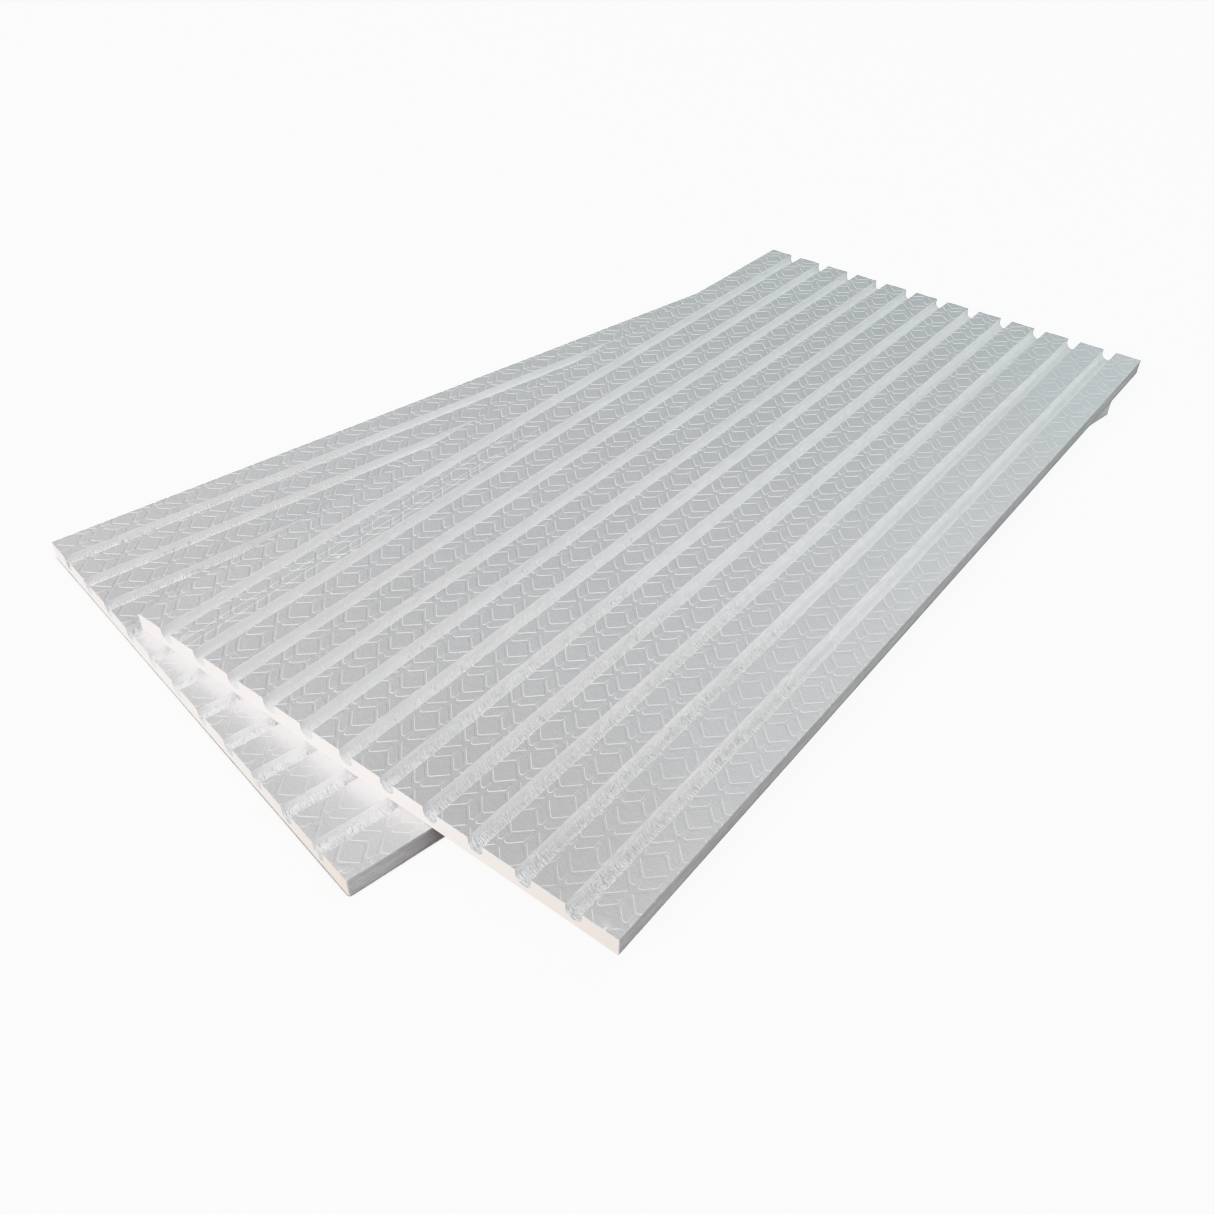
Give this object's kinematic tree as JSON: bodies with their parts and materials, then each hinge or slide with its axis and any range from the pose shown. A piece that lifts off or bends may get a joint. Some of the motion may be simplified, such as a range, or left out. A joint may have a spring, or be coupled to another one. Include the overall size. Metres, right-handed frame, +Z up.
{
  "type": "grooved foam insulation boards",
  "caption": "Rigid foam insulation boards with parallel round-bottomed grooves and an embossed diamond skin, stacked flat and fanned out.",
  "frame": {"origin": "on the lower board's underside, straight below the middle of the upper board", "axes": "+Z up; +Y along the upper board's grooves, the longest extent of the stack; +X across the upper board"},
  "size_m": [0.8022, 1.2868, 0.0403],
  "materials": {
    "white_foam": "white extruded polystyrene foam: satin embossed skin on top, matte milled grooves and cut edges"
  },
  "bodies": {
    "base": {"lower_board": "white_foam"},
    "top": {"upper_board": "white_foam"}
  },
  "joints": [
    {"name": "lift_off", "type": "slide", "parent": "base", "child": "top", "axis": [0, 0, 1], "range_m": [0, 0.12]}
  ]
}
